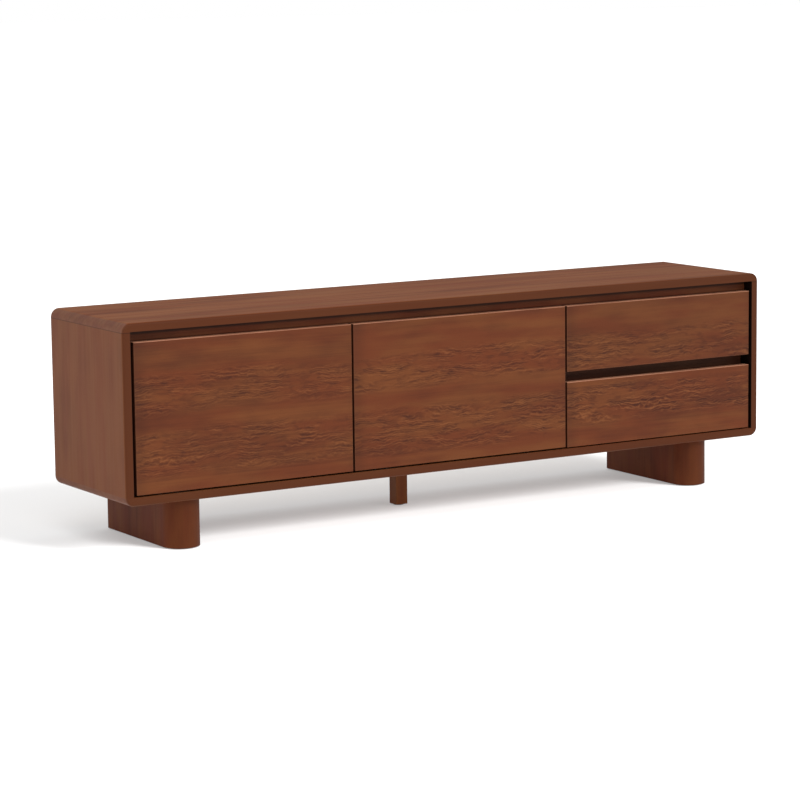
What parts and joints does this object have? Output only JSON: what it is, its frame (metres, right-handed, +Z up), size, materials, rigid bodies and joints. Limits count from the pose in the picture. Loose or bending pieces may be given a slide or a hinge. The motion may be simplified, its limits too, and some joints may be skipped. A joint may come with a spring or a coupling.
{
  "type": "tv stand",
  "caption": "Low TV stand on slab legs with a centre post: inset drop-down flap doors and drawers, opened by finger gaps, in a rounded wooden case.",
  "frame": {"origin": "on the floor, in the middle of the case's footprint", "axes": "+X along the length to the right as seen from the front, +Y from the fronts to the back, +Z up"},
  "size_m": [1.8, 0.38, 0.537],
  "materials": {
    "stained_wood": "satin",
    "inner_wood": "satin",
    "zinc_steel": "satin",
    "black_plastic": "matte",
    "felt": "matte"
  },
  "bodies": {
    "case": {"top": "stained_wood", "bottom": "stained_wood", "side_left": "stained_wood", "side_right": "stained_wood", "divider_left": "inner_wood", "divider_right": "inner_wood", "top_rail": "stained_wood", "mid_rail": "stained_wood", "back_panel": "inner_wood", "cable_rings": "black_plastic", "back_screws": "zinc_steel", "shelf_left": "inner_wood", "shelf_mid": "inner_wood", "shelf_pins": "zinc_steel", "leg_left": "stained_wood", "leg_right": "stained_wood", "centre_post": "stained_wood", "floor_pads": "felt", "leg_bolts": "zinc_steel", "hinge_arms": "zinc_steel", "hinge_screws": "zinc_steel", "stay_studs": "zinc_steel", "catches": "black_plastic", "slide_channels": "zinc_steel", "slide_screws": "zinc_steel"},
    "door_left": {"door_left": "stained_wood", "hinge_cups_left": "zinc_steel", "hinge_pins_left": "zinc_steel", "cup_screws_left": "zinc_steel", "stay_bracket_left": "zinc_steel", "strike_left": "zinc_steel"},
    "door_mid": {"door_mid": "stained_wood", "hinge_cups_mid": "zinc_steel", "hinge_pins_mid": "zinc_steel", "cup_screws_mid": "zinc_steel", "stay_bracket_mid": "zinc_steel", "strike_mid": "zinc_steel"},
    "stay_left": {"stay_arm_left": "zinc_steel"},
    "stay_mid": {"stay_arm_mid": "zinc_steel"},
    "upper_drawer": {"upper_front": "stained_wood", "upper_sides": "inner_wood", "upper_ends": "inner_wood", "upper_bottom": "inner_wood", "upper_screws": "zinc_steel", "upper_runners": "zinc_steel"},
    "lower_drawer": {"lower_front": "stained_wood", "lower_sides": "inner_wood", "lower_ends": "inner_wood", "lower_bottom": "inner_wood", "lower_screws": "zinc_steel", "lower_runners": "zinc_steel"},
    "upper_slides": {"upper_slide_mid": "zinc_steel"},
    "lower_slides": {"lower_slide_mid": "zinc_steel"}
  },
  "joints": [
    {"name": "door_left_hinge", "type": "hinge", "parent": "case", "child": "door_left", "pos_m": [-0.5878, -0.176, 0.1625], "axis": [1, 0, 0], "range_deg": [0, 90]},
    {"name": "door_mid_hinge", "type": "hinge", "parent": "case", "child": "door_mid", "pos_m": [0.003, -0.176, 0.1625], "axis": [1, 0, 0], "range_deg": [0, 90]},
    {"name": "stay_left_pivot", "type": "hinge", "parent": "door_left", "child": "stay_left", "pos_m": [-0.873, -0.157, 0.2945], "axis": [1, 0, 0], "range_deg": [-45, 0]},
    {"name": "stay_mid_pivot", "type": "hinge", "parent": "door_mid", "child": "stay_mid", "pos_m": [-0.285, -0.157, 0.2945], "axis": [1, 0, 0], "range_deg": [-45, 0]},
    {"name": "upper_drawer_slide", "type": "slide", "parent": "case", "child": "upper_drawer", "axis": [0, -1, 0], "range_m": [0, 0.28]},
    {"name": "lower_drawer_slide", "type": "slide", "parent": "case", "child": "lower_drawer", "axis": [0, -1, 0], "range_m": [0, 0.28]},
    {"name": "upper_slides_run", "type": "slide", "parent": "case", "child": "upper_slides", "axis": [0, -1, 0], "range_m": [0, 0.14]},
    {"name": "lower_slides_run", "type": "slide", "parent": "case", "child": "lower_slides", "axis": [0, -1, 0], "range_m": [0, 0.14]}
  ],
  "couplings": [
    {"joint": "stay_left_pivot", "follows": "door_left_hinge", "ratio": -0.5},
    {"joint": "stay_mid_pivot", "follows": "door_mid_hinge", "ratio": -0.5},
    {"joint": "upper_slides_run", "follows": "upper_drawer_slide", "ratio": 0.5},
    {"joint": "lower_slides_run", "follows": "lower_drawer_slide", "ratio": 0.5}
  ]
}
